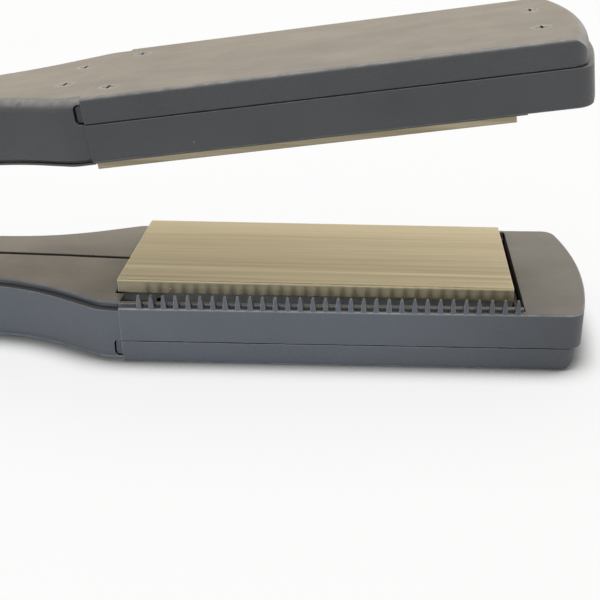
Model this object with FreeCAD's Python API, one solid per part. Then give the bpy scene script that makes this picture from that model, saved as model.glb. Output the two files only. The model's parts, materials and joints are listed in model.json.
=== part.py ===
import FreeCAD, Part
import math
import os
from FreeCAD import Vector

# Overall size. X runs from the hinge end to the nose, Y across, Z up from the table.
TOTAL_LENGTH = 329.6
NOSE_X = TOTAL_LENGTH / 2
COLLAR_END_X = -TOTAL_LENGTH / 2
REAR_X = COLLAR_END_X + 6.1

# Heating plates, the parts that the other heights and places are taken from
PLATE_LENGTH = 90.0
PLATE_WIDTH = 38.0
PLATE_SLAB = 3.1
PLATE_TOP_Z = 17.3
PLATE_END_X = NOSE_X - 17.5
PLATE_START_X = PLATE_END_X - PLATE_LENGTH
PLATE_MID_X = PLATE_START_X + PLATE_LENGTH / 2
PLATE_SHIFT_Y = 1.0
PLATE_TILT = 0.68
PLATE_FLOAT = 1.2
CHANNEL_DEPTH = 9.0
CHANNEL_WALL = 1.6
CHANNEL_INSET = 0.6
CHANNEL_START_X = PLATE_START_X + 10.7
LUG_X = [CHANNEL_START_X + 8, PLATE_END_X - 8]
LUG_WIDTH = 5.0
LUG_HEIGHT = 1.2
LUG_REACH = 1.1
END_BLOCK_DEPTH = 2.1
END_BLOCK_STEP = 1.2
END_TONGUE_LENGTH = 5.0

# Head of each arm: frame with the comb above, cover below
HEAD_WIDTH = 50.0
HEAD_START_X = PLATE_START_X + 1.5
RIM_Z = 13.85
SEAM_Z = 5.75
HEAD_WALL = 1.6
HEAD_FLOOR = 2.0
NOSE_ARC = 95.0
NOSE_CORNER = 3.6
NOSE_BOTTOM_RADIUS = 3.4
RECESS_END_X = PLATE_END_X + 2.1
COVER_STEP = 0.12
NOSE_STEP = 0.9
SEAM_GAP = 0.3
SEAM_DEPTH = 0.45
LATCH_LENGTH = 1.9
LATCH_Z = (1.4, 5.6)
LATCH_GAP = 0.3
LATCH_DEPTH = 0.8
NOSE_BOSS = (NOSE_X - 10.8, 10.0)
REAR_BOSS = (HEAD_START_X + 4.2, 16.5)

# Comb teeth on the near rim of each head
TOOTH_COUNT = 31
TOOTH_PITCH = 2.8
TOOTH_BASE = 1.3
TOOTH_TIP = 0.4
TOOTH_DEPTH = 1.35
TOOTH_ARCH = 1.8
TOOTH_TOP_Z = 17.0
FIRST_TOOTH_X = PLATE_START_X + 6.3

# Shells and liners of the handle and neck
WALL = 2.0
NECK_HALF_WIDTH = 24.6
SHOULDER_ANGLE = math.radians(26.6)
SHOULDER_RADIUS = 8.0
SHOULDER_LENGTH = 8.5
REAR_HALF_WIDTH = 15.0
REAR_CORNER = 8.0
HANDLE_STATIONS = [(-105, 16.4), (-65, 16.6), (-22, 15.0), (12.3, 13.6), (26.3, 14.35), (36.9, 16.7)]
EDGE_ROUND = 2.5
LINER_Z = 14.6
LINER_GAP = 2.4
LINER_PROUD = 1.7
LINER_THICK = 2.2
LINER_INSET = 1.3
LINER_LIP = 0.5
LINER_REAR_X = -137.5
RAIL_FLOOR_Z = 12.8
RAIL_EDGE = 1.0
SLIT_WIDTH = 1.4
SLIT_SHIFT_Y = 1.5
TONGUE_X = 46.0

# Hinge
HINGE_X = PLATE_START_X - 205.0
OPEN_ANGLE = 7.38
EAR_RADIUS = 9.5
EAR_INNER_Y = 11.6
KNUCKLE_RADIUS = 8.6
KNUCKLE_HALF = 11.3
PIN_RADIUS = 2.5
RUNNING_FIT = 0.05
CAP_RADIUS = 4.5
CAP_THICK = 1.4
BUSH_RADIUS = 3.4
BARREL_GAP = 5.5
TAPER_X = -91.0
SPRING_X = HINGE_X + 19.7
SPRING_Y = 6.0
SPRING_SEAT_Z = 9.0

# Parts inside the head
CARRIER_Z = 4.0
CARRIER_FLOOR_Z = 5.7
CARRIER_TOP_Z = 11.6
PLATE_SPRING_X = (CHANNEL_START_X + 4.5, PLATE_END_X - 6.5)
HEATER_X0 = PLATE_START_X + 24.0
HEATER_X1 = PLATE_START_X + 76.0
HEATER_THICK = 1.3
CLIP_DEPTH = 5.5
CLIP_THICK = 0.6

# Controls on the inner face of the lower handle, and what they stand on
PANEL_X = -50.0
PANEL_LENGTH = 52.0
PANEL_WIDTH = 20.0
PANEL_Z = 17.4
PANEL_FOOT_Z = 12.9
ROCKER_X = PANEL_X - 14.0
ROCKER_Z = 15.6
ROCKER_HALF = 6.9
ROCKER_WIDTH = 8.4
ROCKER_THROW = 8.0
DIAL_X = PANEL_X + 12.0
DIAL_RADIUS = 8.5
DIAL_TOP_Z = 19.0
DIAL_FLUTES = 20
LAMP_X = PANEL_X - 1.5
BOARD_X0 = -100.0
BOARD_X1 = -20.0
BOARD_Z = 6.0
BOARD_THICK = 1.6

# Cord inlet
COLLAR_Z = 8.0
COLLAR_NECK = 4.6
COLLAR_BORE = 3.2
CLAMP_X = -112.0
CLAMP_SCREW_Y = 5.2

# Fasteners
SCREW_HEAD = 2.3
SCREW_SHANK = 1.1
SCREW_CLEARANCE = 0.05
SCREW_LENGTH = 9.5
HEAD_SCREW_LENGTH = 8.5
BOSS_RADIUS = 2.9
BOSS_SPLIT_Z = 5.75
FRONT_BOSSES = [(-4, 8.8), (51, 8.5)]


class Arm:
    """One of the two arms, drawn lying on its outer face with the plate on top."""

    def __init__(self, tilt, plate_y, near_side, rear_boss):
        self.tilt = math.radians(tilt)
        self.plate_y = plate_y
        self.near_side = near_side
        self.bosses = [rear_boss] + FRONT_BOSSES
        self.hinge_z = self.plate_line(HINGE_X)

    def plate_line(self, x):
        """Height of the plane of the plate's face, which runs through the hinge."""
        return PLATE_TOP_Z + (PLATE_MID_X - x) * math.tan(self.tilt)


LOWER = Arm(PLATE_TILT, PLATE_SHIFT_Y, -1, (-112, 10.5))
UPPER = Arm(0.0, -PLATE_SHIFT_Y, 1, (-82, 10.5))


def box(x0, x1, y0, y1, z0, z1):
    """Block between two opposite corners."""
    return Part.makeBox(x1 - x0, y1 - y0, z1 - z0, Vector(x0, y0, z0))


def rod(radius, base, axis, length):
    """Round bar from a base point along an axis."""
    return Part.makeCylinder(radius, length, Vector(*base), Vector(*axis))


def upright(radius, x, y, z0, z1):
    """Upright round bar."""
    return rod(radius, (x, y, z0), (0, 0, 1), z1 - z0)


def line(a, b):
    return Part.LineSegment(Vector(*a), Vector(*b)).toShape()


def arc(a, b, c):
    return Part.Arc(Vector(*a), Vector(*b), Vector(*c)).toShape()


def face_of(edges):
    """Flat face inside a closed run of edges given in any order."""
    return Part.Face(Part.Wire(Part.__sortEdges__(edges)))


def polygon(points):
    return Part.Face(Part.makePolygon([Vector(*p) for p in points + points[:1]]))


def across(face, half_width):
    """Solid made by drawing a face in the XZ plane out to both sides."""
    moved = face.copy()
    moved.translate(Vector(0, -half_width, 0))
    return moved.extrude(Vector(0, 2 * half_width, 0))


def both_sides(edges):
    """The edges and their mirror images about the arm's centre plane."""
    return edges + [edge.mirror(Vector(0, 0, 0), Vector(0, 1, 0)) for edge in edges]


def shell_plan(inset=0.0):
    """Handle and neck from above: rounded rear, narrow waist, shoulders that meet the head."""
    flat_x = HEAD_START_X - 3.0
    flat_y = NECK_HALF_WIDTH - inset
    radius = SHOULDER_RADIUS - inset

    def on_shoulder(angle):
        return Vector(flat_x - radius * math.sin(angle), flat_y - radius * (1 - math.cos(angle)), 0)

    slope = Vector(math.cos(SHOULDER_ANGLE), math.sin(SHOULDER_ANGLE), 0)
    start = on_shoulder(SHOULDER_ANGLE) - slope * SHOULDER_LENGTH
    corner = REAR_CORNER - inset
    centre = Vector(REAR_X + REAR_CORNER, REAR_HALF_WIDTH - REAR_CORNER, 0)
    back = centre - Vector(corner, 0, 0)
    middle = centre + Vector(-corner, corner, 0) * math.sqrt(0.5)
    rear = centre + Vector(0, corner, 0)
    side = Part.BSplineCurve()
    side.interpolate(Points=[rear] + [Vector(x, y - inset, 0) for x, y in HANDLE_STATIONS] + [start],
                     InitialTangent=Vector(1, 0, 0), FinalTangent=slope)
    half = [
        line((back.x, 0, 0), back),
        arc(back, middle, rear),
        side.toShape(),
        line(start, on_shoulder(SHOULDER_ANGLE)),
        arc(on_shoulder(SHOULDER_ANGLE), on_shoulder(SHOULDER_ANGLE / 2), on_shoulder(0)),
        line(on_shoulder(0), (HEAD_START_X, flat_y, 0)),
        line((HEAD_START_X, flat_y, 0), (HEAD_START_X, 0, 0)),
    ]
    return face_of(both_sides(half))


def head_plan(inset=0.0, start_x=HEAD_START_X):
    """Head from above: straight sides, small round corners and a shallow arc for the nose."""
    half = HEAD_WIDTH / 2 - inset
    tip = NOSE_X - inset
    radius = NOSE_ARC - inset
    corner = NOSE_CORNER - inset
    arc_centre = tip - radius
    corner_y = half - corner
    corner_x = arc_centre + math.sqrt((radius - corner) ** 2 - corner_y ** 2)
    turn = math.atan2(corner_y, corner_x - arc_centre)
    join = (arc_centre + radius * math.cos(turn), radius * math.sin(turn), 0)
    bend = (turn + math.pi / 2) / 2
    middle = (corner_x + corner * math.cos(bend), corner_y + corner * math.sin(bend), 0)
    edges = [
        line((start_x, 0, 0), (start_x, half, 0)),
        line((start_x, half, 0), (corner_x, half, 0)),
        arc((corner_x, half, 0), middle, join),
    ]
    nose = arc(join, (tip, 0, 0), (join[0], -join[1], 0))
    return face_of(both_sides(edges) + [nose])


def prism(face, z0, z1):
    """Upright solid over a plan."""
    solid = face.extrude(Vector(0, 0, z1 - z0))
    solid.translate(Vector(0, 0, z0))
    return solid


def parting_curve(arm, drop):
    """Line of the inner face from the hinge to the head, lowered by a drop."""
    waist_x = PLATE_START_X - 35.0
    curve = Part.BSplineCurve()
    curve.interpolate([
        Vector(REAR_X - 1, 0, arm.plate_line(REAR_X - 1) - LINER_GAP - drop),
        Vector(waist_x - 60, 0, arm.plate_line(waist_x - 60) - LINER_GAP - drop),
        Vector(waist_x, 0, arm.plate_line(waist_x) - LINER_GAP - drop),
        Vector(HEAD_START_X + 2, 0, LINER_Z - drop),
    ])
    return curve.toShape()


def below_parting(arm, drop):
    """Everything under the inner face, lowered by a drop."""
    curve = parting_curve(arm, drop)
    rear = curve.Vertexes[0].Point
    front = curve.Vertexes[-1].Point
    floor = -1.0
    return across(face_of([
        curve,
        line(front, (front.x, 0, floor)),
        line((front.x, 0, floor), (rear.x, 0, floor)),
        line((rear.x, 0, floor), rear),
    ]), HEAD_WIDTH)


def screw_at(x, y, z, length):
    """Countersunk screw driven upwards from z, with a cross recess."""
    head = Part.makeCone(SCREW_HEAD, SCREW_SHANK, 1.6, Vector(x, y, z))
    shank = upright(SCREW_SHANK, x, y, z + 1.5, z + length)
    screw = head.fuse(shank)
    for angle in (0, 90):
        slot = box(x - 1.4, x + 1.4, y - 0.3, y + 0.3, z - 0.1, z + 0.8)
        slot.rotate(Vector(x, y, z), Vector(0, 0, 1), angle)
        screw = screw.cut(slot)
    return screw


def screw_hole(x, y, z, length):
    """Hole that a countersunk screw sits in."""
    gap = SCREW_CLEARANCE
    head = Part.makeCone(SCREW_HEAD + gap, SCREW_SHANK + gap, 1.6, Vector(x, y, z))
    mouth = upright(SCREW_HEAD + gap, x, y, z - 1, z)
    shank = upright(SCREW_SHANK + gap, x, y, z + 1.5, z + length + 0.3)
    return head.fuse(mouth).fuse(shank)


def coil(x, y, z0, z1, radius, wire, turns):
    """Upright compression spring with its wire's outside between two heights."""
    helix = Part.makeHelix((z1 - z0 - 2 * wire) / turns, z1 - z0 - 2 * wire, radius)
    profile = Part.Wire(Part.makeCircle(wire, Vector(radius, 0, 0), Vector(0, 1, 0)))
    spring = Part.Wire(helix).makePipeShell([profile], True, True)
    spring.translate(Vector(x, y, z0 + wire))
    return spring


def handle_screws(arm):
    """Places of the screws that hold the liners and the head's tongue to the shell."""
    return [(x, sign * y) for x, y in arm.bosses for sign in (-1, 1)]


def rear_taper(arm, depth):
    """Block that is cut from under the rear of the upper arm, whose shell thins towards the hinge."""
    low = arm.hinge_z - KNUCKLE_RADIUS
    curve = Part.BezierCurve()
    curve.setPoles([
        Vector(TAPER_X, 0, depth),
        Vector(TAPER_X - 22, 0, depth),
        Vector(HINGE_X + 20, 0, low + depth),
        Vector(HINGE_X + 3, 0, low + depth),
    ])
    return across(face_of([
        curve.toShape(),
        line((HINGE_X + 3, 0, low + depth), (REAR_X - 5, 0, low + depth)),
        line((REAR_X - 5, 0, low + depth), (REAR_X - 5, 0, -5)),
        line((REAR_X - 5, 0, -5), (TAPER_X, 0, -5)),
        line((TAPER_X, 0, -5), (TAPER_X, 0, depth)),
    ]), HEAD_WIDTH)


def bottom_edges(body, joint_x):
    """Edges along the bottom of a body, apart from the one where neck and head meet."""
    chosen = []
    for edge in body.Edges:
        limits = edge.BoundBox
        at_joint = limits.XLength < 0.01 and abs(limits.XMin - joint_x) < 0.01
        if limits.ZMax < 0.01 and not at_joint:
            chosen.append(edge)
    return chosen


def latch(sign, gap=0.0):
    """Round-ended window at the foot of the neck's side wall or, smaller by a gap, the latch that fills it."""
    low, high = LATCH_Z[0] + gap, LATCH_Z[1] - gap
    radius = 1.0 - gap
    rear = HEAD_START_X - LATCH_LENGTH + gap
    y = sign * NECK_HALF_WIDTH - 3
    body = box(rear + radius, HEAD_START_X, y, y + 6, low, high)
    body = body.fuse(box(rear, HEAD_START_X, y, y + 6, low + radius, high - radius))
    return body.fuse([rod(radius, (rear + radius, y, z), (0, 1, 0), 6) for z in (low + radius, high - radius)])


def lower_ears(arm):
    """Pair of lugs that rise from the lower shell, with a fairing along the top of its walls."""
    z = arm.hinge_z
    wall_z = z - 8.0
    thick = REAR_HALF_WIDTH - EAR_INNER_Y
    disc = rod(EAR_RADIUS, (HINGE_X, EAR_INNER_Y, z), (0, 1, 0), thick)
    web = box(HINGE_X - EAR_RADIUS, HINGE_X + EAR_RADIUS, EAR_INNER_Y, REAR_HALF_WIDTH, wall_z, z)
    ears = disc.fuse(web)
    ears = ears.fuse(ears.mirror(Vector(0, 0, 0), Vector(0, 1, 0)))
    strip = prism(shell_plan(), wall_z, z + 2).cut(prism(shell_plan(LINER_INSET - 0.15), wall_z - 1, z + 3))
    slope = polygon([
        (HINGE_X + EAR_RADIUS - 0.1, 0, z + 1),
        (HINGE_X + 34, 0, z - 4.3),
        (HINGE_X + 34, 0, wall_z),
        (HINGE_X, 0, wall_z),
        (HINGE_X, 0, z + 1),
    ])
    return ears.fuse(strip.common(across(slope, HEAD_WIDTH)))


def pin_holes(arm):
    """Holes through both ears for the hinge pin and the caps that hide its ends."""
    z = arm.hinge_z
    pin = rod(PIN_RADIUS + 0.02, (HINGE_X, -30, z), (0, 1, 0), 60)
    seat = rod(CAP_RADIUS + 0.03, (HINGE_X, REAR_HALF_WIDTH - CAP_THICK, z), (0, 1, 0), 5)
    return pin.fuse([seat, seat.mirror(Vector(0, 0, 0), Vector(0, 1, 0))])


def shell_blank(arm):
    """Outside of a handle shell before it is hollowed, with its bottom edges rounded."""
    body = prism(shell_plan(), 0, 30).common(below_parting(arm, LINER_PROUD))
    return body.makeFillet(EDGE_ROUND, bottom_edges(body, HEAD_START_X))


def lower_shell():
    """Shell of the lower handle and neck, with the hinge ears and the cord's hole."""
    arm = LOWER
    body = shell_blank(arm)
    hollow = prism(shell_plan(WALL), WALL, 30)
    seat = liner_seat(arm)
    well = rod(KNUCKLE_RADIUS + 0.6, (HINGE_X, -EAR_INNER_Y, arm.hinge_z), (0, 1, 0), 2 * EAR_INNER_Y)
    body = body.cut(hollow).cut(seat).cut(well)
    body = body.fuse(lower_ears(arm)).cut(pin_holes(arm))
    for x, y in handle_screws(arm):
        body = body.fuse(upright(BOSS_RADIUS, x, y, WALL - 0.5, BOSS_SPLIT_Z))
    for x in (BOARD_X0 + 3, BOARD_X1 - 3):
        for y in (-6.5, 6.5):
            body = body.fuse(upright(1.8, x, y, WALL - 0.5, BOARD_Z))
    post = upright(4.4, SPRING_X, SPRING_Y, WALL - 0.5, SPRING_SEAT_Z)
    pip = upright(3.0, SPRING_X, SPRING_Y, SPRING_SEAT_Z - 1, SPRING_SEAT_Z + 2)
    body = body.fuse(post).fuse(pip)
    for y in (-CLAMP_SCREW_Y, CLAMP_SCREW_Y):
        body = body.fuse(upright(2.0, CLAMP_X, y, WALL - 0.5, COLLAR_Z - 3.3))
        body = body.cut(upright(SCREW_SHANK + SCREW_CLEARANCE, CLAMP_X, y, 0.8, COLLAR_Z))
    body = body.cut(rod(COLLAR_NECK + 0.08, (REAR_X - 1, 0, COLLAR_Z), (1, 0, 0), WALL + 2))
    return finish_shell(arm, body)


def finish_shell(arm, body):
    """Screw holes and latch windows that both shells have."""
    for x, y in handle_screws(arm):
        body = body.cut(screw_hole(x, y, 0, SCREW_LENGTH))
    for sign in (-1, 1):
        body = body.cut(latch(sign))
    return body.removeSplitter()


def liner_seat(arm):
    """Mouth of a shell that its liners drop into."""
    mouth = prism(shell_plan(WALL), 0, 30).cut(below_parting(arm, LINER_THICK))
    return mouth.common(box(LINER_REAR_X - 0.2, HEAD_START_X + 1, -30, 30, 0, 30))


def upper_shell():
    """Shell of the upper handle and neck, thinning to a barrel that turns between the ears."""
    arm = UPPER
    z = arm.hinge_z
    body = shell_blank(arm).cut(rear_taper(arm, 0))
    front = HINGE_X + 13.5
    hollow = prism(shell_plan(WALL), WALL, 30).common(box(front, NOSE_X, -30, 30, 0, 30))
    body = body.cut(hollow.cut(rear_taper(arm, WALL))).cut(liner_seat(arm))
    for x, y in handle_screws(arm):
        body = body.fuse(upright(BOSS_RADIUS, x, y, WALL - 0.5, BOSS_SPLIT_Z))
    body = body.cut(box(REAR_X - 1, HINGE_X, -30, 30, -1, 40))
    sweep = rod(EAR_RADIUS + 0.6, (HINGE_X, -30, z), (0, 1, 0), 60)
    sides = box(HINGE_X - 20, HINGE_X + 12, -KNUCKLE_HALF, KNUCKLE_HALF, -1, 40)
    body = body.cut(sweep.cut(sides))
    barrel = rod(KNUCKLE_RADIUS, (HINGE_X, -KNUCKLE_HALF, z), (0, 1, 0), 2 * KNUCKLE_HALF)
    body = body.fuse(barrel)
    body = body.cut(rod(KNUCKLE_RADIUS - WALL, (HINGE_X, -BARREL_GAP, z), (0, 1, 0), 2 * BARREL_GAP))
    body = body.cut(box(HINGE_X, front + 1, -BARREL_GAP + 1, BARREL_GAP - 1, z - 7.0, z + 6))
    body = body.cut(rod(BUSH_RADIUS, (HINGE_X, -30, z), (0, 1, 0), 60))
    return finish_shell(arm, body)


def liner(arm, sign):
    """Half of the inner cover: handle and neck, then a rail beside the plate, with a slit between.

    Its thin lip stands clear of the shell's rim and leaves a shadow gap all round.
    """
    lip = prism(shell_plan(LINER_INSET), 0, 30).common(below_parting(arm, 0)).cut(below_parting(arm, LINER_LIP))
    core = prism(shell_plan(WALL + 0.1), 0, 30)
    sheet = lip.fuse(core.common(below_parting(arm, LINER_LIP)).cut(below_parting(arm, LINER_THICK)))
    band = core.cut(prism(shell_plan(WALL + 1.0), -1, 31))
    skirt = band.common(below_parting(arm, LINER_THICK - 0.2)).cut(below_parting(arm, LINER_THICK + 2.6))
    skirt = skirt.common(box(LINER_REAR_X + 5, TONGUE_X - 1, -30, 30, 0, 40))
    slot_y0 = arm.plate_y - PLATE_WIDTH / 2 - 0.9
    slot_y1 = arm.plate_y + PLATE_WIDTH / 2 + 0.9
    body = sheet.fuse(skirt).common(box(LINER_REAR_X, NOSE_X, -30, 30, 0, 40))
    body = body.cut(box(PLATE_START_X - 0.5, NOSE_X, slot_y0, slot_y1, 0, 40))
    outer = HEAD_WIDTH / 2 - HEAD_WALL - 0.1
    rail_end = RECESS_END_X - 0.4
    for y0, y1 in ((-outer, slot_y0), (slot_y1, outer)):
        body = body.fuse(box(HEAD_START_X, rail_end, y0, y1, RAIL_FLOOR_Z - 1, RAIL_FLOOR_Z))
    for y0, y1 in ((-outer, -outer + RAIL_EDGE), (outer - RAIL_EDGE, outer)):
        body = body.fuse(box(HEAD_START_X, rail_end, y0, y1, RAIL_FLOOR_Z - 1, LINER_Z - 0.2))
    slit = SLIT_SHIFT_Y * math.copysign(1, arm.plate_y)
    edge = slit + sign * SLIT_WIDTH / 2
    half = box(-200, 200, edge, 40, -5, 60) if sign > 0 else box(-200, 200, -40, edge, -5, 60)
    body = body.common(half)
    for x, y in handle_screws(arm):
        if y * sign > 0 and x < TONGUE_X:
            boss = upright(BOSS_RADIUS, x, y, BOSS_SPLIT_Z, 20).common(below_parting(arm, 1))
            body = body.fuse(boss).cut(screw_hole(x, y, 0, SCREW_LENGTH))
    if arm is LOWER:
        body = body.cut(panel_blank(0.12))
        body = body.cut(upright(5.4, SPRING_X, SPRING_Y, 0, 40))
    return body.removeSplitter()


def head_frame(arm):
    """Frame of the head: rim around the plate's recess, nose, comb, bosses and neck tongue."""
    body = prism(head_plan(), SEAM_Z, RIM_Z)
    rim = [edge for edge in body.Edges
           if edge.BoundBox.ZMin > RIM_Z - 0.01 and edge.BoundBox.XMax > HEAD_START_X + 0.01]
    body = body.makeFillet(0.6, rim)
    side = HEAD_WIDTH / 2 - HEAD_WALL
    wall_x = HEAD_START_X + HEAD_WALL
    body = body.cut(box(wall_x, RECESS_END_X, -side, side, 0, 20))
    body = body.cut(box(HEAD_START_X - 1, RECESS_END_X, -side, side, RAIL_FLOOR_Z - 2, 20))
    nose = prism(head_plan(WALL), 0, RIM_Z - WALL)
    body = body.cut(nose.common(box(RECESS_END_X + 1.2, NOSE_X, -30, 30, 0, 20)))
    for x, y in head_screws():
        top = RIM_Z - WALL + 0.5 if x > PLATE_MID_X else RAIL_FLOOR_Z - 2
        body = body.fuse(upright(BOSS_RADIUS, x, y, SEAM_Z, top))
        body = body.cut(screw_hole(x, y, 0, HEAD_SCREW_LENGTH))
    tongue = box(TONGUE_X, wall_x, -13, 13, SEAM_Z, SEAM_Z + 2.2)
    body = body.fuse(tongue)
    for x, y in handle_screws(arm):
        if x > TONGUE_X:
            body = body.fuse(upright(BOSS_RADIUS, x, y, SEAM_Z, SEAM_Z + 4.6))
            body = body.cut(screw_hole(x, y, 0, SCREW_LENGTH))
    body = body.cut(box(HEAD_START_X - 1, wall_x + 1, arm.plate_y - 6, arm.plate_y + 6, SEAM_Z + 2.2, 20))
    return body.fuse(comb()).removeSplitter()


def comb():
    """Row of pointed teeth along the near rim, upright in front and sloping behind."""
    front_y = -HEAD_WIDTH / 2 + 0.15
    foot = RIM_Z - 1.0
    shoulder = TOOTH_TOP_Z - TOOTH_ARCH
    slope_z = (RIM_Z + TOOTH_TOP_Z) / 2
    half_base = TOOTH_BASE / 2
    half_tip = TOOTH_TIP / 2
    teeth = []
    for number in range(TOOTH_COUNT):
        x = FIRST_TOOTH_X + number * TOOTH_PITCH
        sides = []
        for sign in (-1, 1):
            low = (x + sign * half_base, front_y, foot)
            neck = (x + sign * half_base * 0.8, front_y, shoulder)
            arch = (x + sign * half_base * 0.6, front_y, shoulder + TOOTH_ARCH * 0.55)
            tip = (x + sign * half_tip, front_y, TOOTH_TOP_Z)
            sides += [line(low, neck), arc(neck, arch, tip)]
        top = line((x - half_tip, front_y, TOOTH_TOP_Z), (x + half_tip, front_y, TOOTH_TOP_Z))
        base = line((x - half_base, front_y, foot), (x + half_base, front_y, foot))
        teeth.append(face_of(sides + [top, base]).extrude(Vector(0, TOOTH_DEPTH, 0)))
    start = FIRST_TOOTH_X - TOOTH_PITCH
    wedge = polygon([
        (start, front_y, foot),
        (start, front_y, TOOTH_TOP_Z + 0.1),
        (start, front_y + 0.6, TOOTH_TOP_Z + 0.1),
        (start, front_y + TOOTH_DEPTH, slope_z),
        (start, front_y + TOOTH_DEPTH, foot),
    ]).extrude(Vector((TOOTH_COUNT + 1) * TOOTH_PITCH, 0, 0))
    return wedge.common(Part.makeCompound(teeth))


def head_screws():
    """Places of the four screws that hold cover, carrier and frame together."""
    return [(x, sign * y) for x, y in (NOSE_BOSS, REAR_BOSS) for sign in (-1, 1)]


def head_cover():
    """Outer cover of the head: a shallow tray with a rolled-up nose, posts for the screws and two latches."""
    start_x = HEAD_START_X + NOSE_STEP
    body = prism(head_plan(COVER_STEP, start_x), 0, SEAM_Z)
    body = body.makeFillet(0.9, bottom_edges(body, start_x))
    tip = NOSE_X - COVER_STEP
    roll = NOSE_BOTTOM_RADIUS
    axis_x = NOSE_X - NOSE_ARC
    middle = (tip - roll + roll * math.sqrt(0.5), 0, roll - roll * math.sqrt(0.5))
    half_section = face_of([
        line((axis_x, 0, 0), (tip - roll, 0, 0)),
        arc((tip - roll, 0, 0), middle, (tip, 0, roll)),
        line((tip, 0, roll), (tip, 0, SEAM_Z)),
        line((tip, 0, SEAM_Z), (axis_x, 0, SEAM_Z)),
        line((axis_x, 0, SEAM_Z), (axis_x, 0, 0)),
    ])
    body = body.common(half_section.revolve(Vector(axis_x, 0, 0), Vector(0, 0, 1), 360))
    inside = prism(head_plan(WALL, start_x + WALL), HEAD_FLOOR, SEAM_Z + 1)
    groove = prism(head_plan(-1, start_x), SEAM_Z - SEAM_GAP, SEAM_Z + 1)
    groove = groove.cut(prism(head_plan(COVER_STEP + SEAM_DEPTH, start_x), 0, SEAM_Z + 2))
    body = body.cut(inside).cut(groove)
    body.translate(Vector(-NOSE_STEP, 0, 0))
    for sign in (-1, 1):
        y0, y1 = sorted((sign * (HEAD_WIDTH / 2 - WALL - 0.4), sign * (NECK_HALF_WIDTH - LATCH_DEPTH)))
        tab = latch(sign, LATCH_GAP).common(box(0, HEAD_START_X, y0, y1, 0, SEAM_Z))
        root = box(HEAD_START_X, HEAD_START_X + 1, y0, y1, LATCH_Z[0] + LATCH_GAP, LATCH_Z[1] - LATCH_GAP)
        body = body.fuse([tab, root])
    for x, y in head_screws():
        body = body.fuse(upright(BOSS_RADIUS + 0.2, x, y, HEAD_FLOOR - 0.5, CARRIER_Z))
        body = body.cut(screw_hole(x, y, 0, HEAD_SCREW_LENGTH))
    return body.removeSplitter()


def plate_carrier(arm):
    """Heat-resistant tray that guides the floating plate and carries its springs."""
    y = arm.plate_y
    inner = PLATE_WIDTH / 2
    outer = inner + 1.4
    x0 = CHANNEL_START_X - 1.8
    x1 = PLATE_END_X + 1.6
    body = box(x0, x1, y - outer, y + outer, CARRIER_Z, CARRIER_TOP_Z)
    body = body.cut(box(x0 + 1.2, x1 - 1.0, y - inner, y + inner, CARRIER_FLOOR_Z, 20))
    body = body.cut(box(x0 - 1, x0 + 2, y - 6, y + 6, CARRIER_TOP_Z - 3, 20))
    body = body.fuse(box(x1 - 1, NOSE_BOSS[0] + 3.2, -13.5, 13.5, CARRIER_Z, CARRIER_FLOOR_Z))
    body = body.fuse(box(HEAD_START_X + 2.3, x0 + 1, -19, 19, CARRIER_Z, CARRIER_FLOOR_Z))
    for x in LUG_X:
        top = arm.plate_line(x) - CHANNEL_DEPTH + LUG_HEIGHT + 0.1
        low = top - LUG_HEIGHT - PLATE_FLOAT - 0.4
        body = body.cut(box(x - LUG_WIDTH / 2 - 0.5, x + LUG_WIDTH / 2 + 0.5, y - 25, y + 25, low, top))
    for x in PLATE_SPRING_X:
        body = body.fuse(upright(1.7, x, y, CARRIER_Z, CARRIER_FLOOR_Z + 2.2))
    for x, hole_y in head_screws():
        body = body.cut(upright(SCREW_SHANK + SCREW_CLEARANCE, x, hole_y, 0, 20))
    return body.removeSplitter()


def tilt_with_plate(arm, shape):
    """Turn a shape drawn under a level plate to the plate's own small tilt."""
    shape.rotate(Vector(PLATE_MID_X, 0, PLATE_TOP_Z), Vector(0, 1, 0), math.degrees(arm.tilt))
    return shape


def heating_plate(arm):
    """Coated aluminium plate: a flat slab over a channel whose lugs hook into the carrier."""
    y = arm.plate_y
    top = PLATE_TOP_Z
    half = PLATE_WIDTH / 2
    slab = box(PLATE_START_X, PLATE_END_X, y - half, y + half, top - PLATE_SLAB, top)
    long_edges = [edge for edge in slab.Edges
                  if edge.BoundBox.ZMin > top - 0.01 and edge.BoundBox.YLength < 0.01]
    body = slab.makeFillet(0.4, long_edges)
    for sign in (-1, 1):
        outside = y + sign * (half - CHANNEL_INSET)
        inside = outside - sign * CHANNEL_WALL
        y0, y1 = sorted((inside, outside))
        body = body.fuse(box(CHANNEL_START_X, PLATE_END_X, y0, y1, top - CHANNEL_DEPTH, top - 1))
        groove0, groove1 = sorted((inside - sign, inside + sign * 0.5))
        body = body.cut(box(CHANNEL_START_X - 1, PLATE_END_X + 1, groove0, groove1,
                            top - CLIP_DEPTH - 0.1, top - CLIP_DEPTH + CLIP_THICK + 0.1))
        lug0, lug1 = sorted((inside, outside + sign * LUG_REACH))
        for x in LUG_X:
            body = body.fuse(box(x - LUG_WIDTH / 2, x + LUG_WIDTH / 2, lug0, lug1,
                                 top - CHANNEL_DEPTH, top - CHANNEL_DEPTH + LUG_HEIGHT))
    return tilt_with_plate(arm, body.removeSplitter())


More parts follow.
